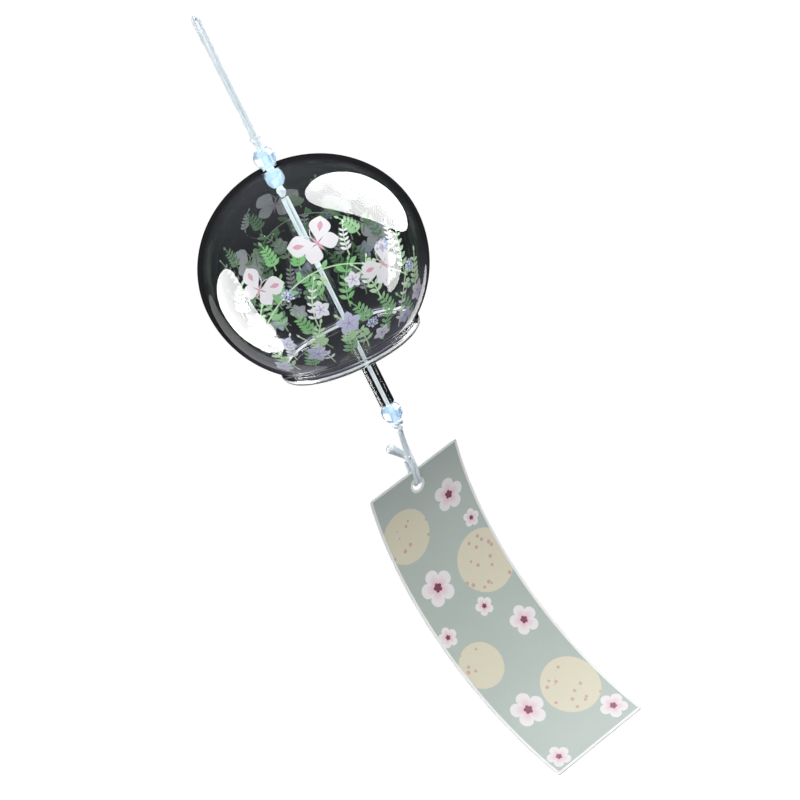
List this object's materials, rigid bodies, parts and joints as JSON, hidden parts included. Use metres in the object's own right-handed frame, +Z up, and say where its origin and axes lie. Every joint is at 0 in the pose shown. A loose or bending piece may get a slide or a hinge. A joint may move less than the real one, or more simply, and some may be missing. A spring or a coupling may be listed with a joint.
{
  "type": "furin wind bell",
  "caption": "Blown-glass wind bell on a doubled cord with faceted beads, a glass tube clapper that swings against the rolled lip and a curled paper strip below that catches the wind.",
  "frame": {"origin": "the inside top of the hanging loop, where it bears on its hook", "axes": "+Z up along the cord, +X along the strip's width, the strip's printed front towards -Y"},
  "size_m": [0.079, 0.079, 0.2889],
  "materials": {
    "cord": "smooth satin round cord, pale blue",
    "bead_glass": "faceted, clear icy blue",
    "bell_glass": "polished, smoky, with a painted floral print",
    "tube_glass": "polished, clear",
    "strip_paper": "printed sage green with a pale border, satin"
  },
  "bodies": {
    "hanger": {"hanging_loop": "cord", "top_knot": "cord"},
    "top_bead": {"top_bead": "bead_glass"},
    "inner_bead": {"inner_bead": "bead_glass"},
    "bell": {"glass_bell": "bell_glass"},
    "stopper": {"stopper_knot": "cord"},
    "clapper_line": {"clapper_strand_right": "cord", "clapper_strand_left": "cord"},
    "clapper_tube": {"clapper_tube": "tube_glass"},
    "bottom_bead": {"bottom_bead": "bead_glass"},
    "lower_knot": {"lower_knot": "cord"},
    "strip": {"strip_cord_right": "cord", "strip_cord_left": "cord", "tie_knot": "cord", "cord_tail": "cord", "paper_strip": "strip_paper"}
  },
  "joints": [
    {"name": "top_bead_spin", "type": "hinge", "parent": "hanger", "child": "top_bead", "pos_m": [0, 0, -0.05273], "axis": [0, 0, 1], "continuous": true},
    {"name": "bell_spin", "type": "hinge", "parent": "hanger", "child": "inner_bead", "pos_m": [0, 0, -0.06081], "axis": [0, 0, 1], "continuous": true},
    {"name": "bell_rock", "type": "hinge", "parent": "inner_bead", "child": "bell", "pos_m": [0, 0, -0.06081], "axis": [1, 0, 0], "range_deg": [-5, 5]},
    {"name": "clapper_turn", "type": "hinge", "parent": "hanger", "child": "stopper", "pos_m": [0, 0, -0.06585], "axis": [0, 0, 1], "continuous": true},
    {"name": "clapper_swing", "type": "hinge", "parent": "stopper", "child": "clapper_line", "pos_m": [0, 0, -0.06585], "axis": [0, 1, 0], "range_deg": [-14, 14]},
    {"name": "tube_slide", "type": "slide", "parent": "clapper_line", "child": "clapper_tube", "axis": [0, 0, 1], "range_m": [0, 0.02]},
    {"name": "bottom_bead_spin", "type": "hinge", "parent": "clapper_line", "child": "bottom_bead", "pos_m": [0, 0, -0.1534], "axis": [0, 0, 1], "continuous": true},
    {"name": "strip_turn", "type": "hinge", "parent": "clapper_line", "child": "lower_knot", "pos_m": [0, 0, -0.15875], "axis": [0, 0, 1], "continuous": true},
    {"name": "strip_swing", "type": "hinge", "parent": "lower_knot", "child": "strip", "pos_m": [0, 0, -0.15875], "axis": [1, 0, 0], "range_deg": [-70, 70]}
  ]
}
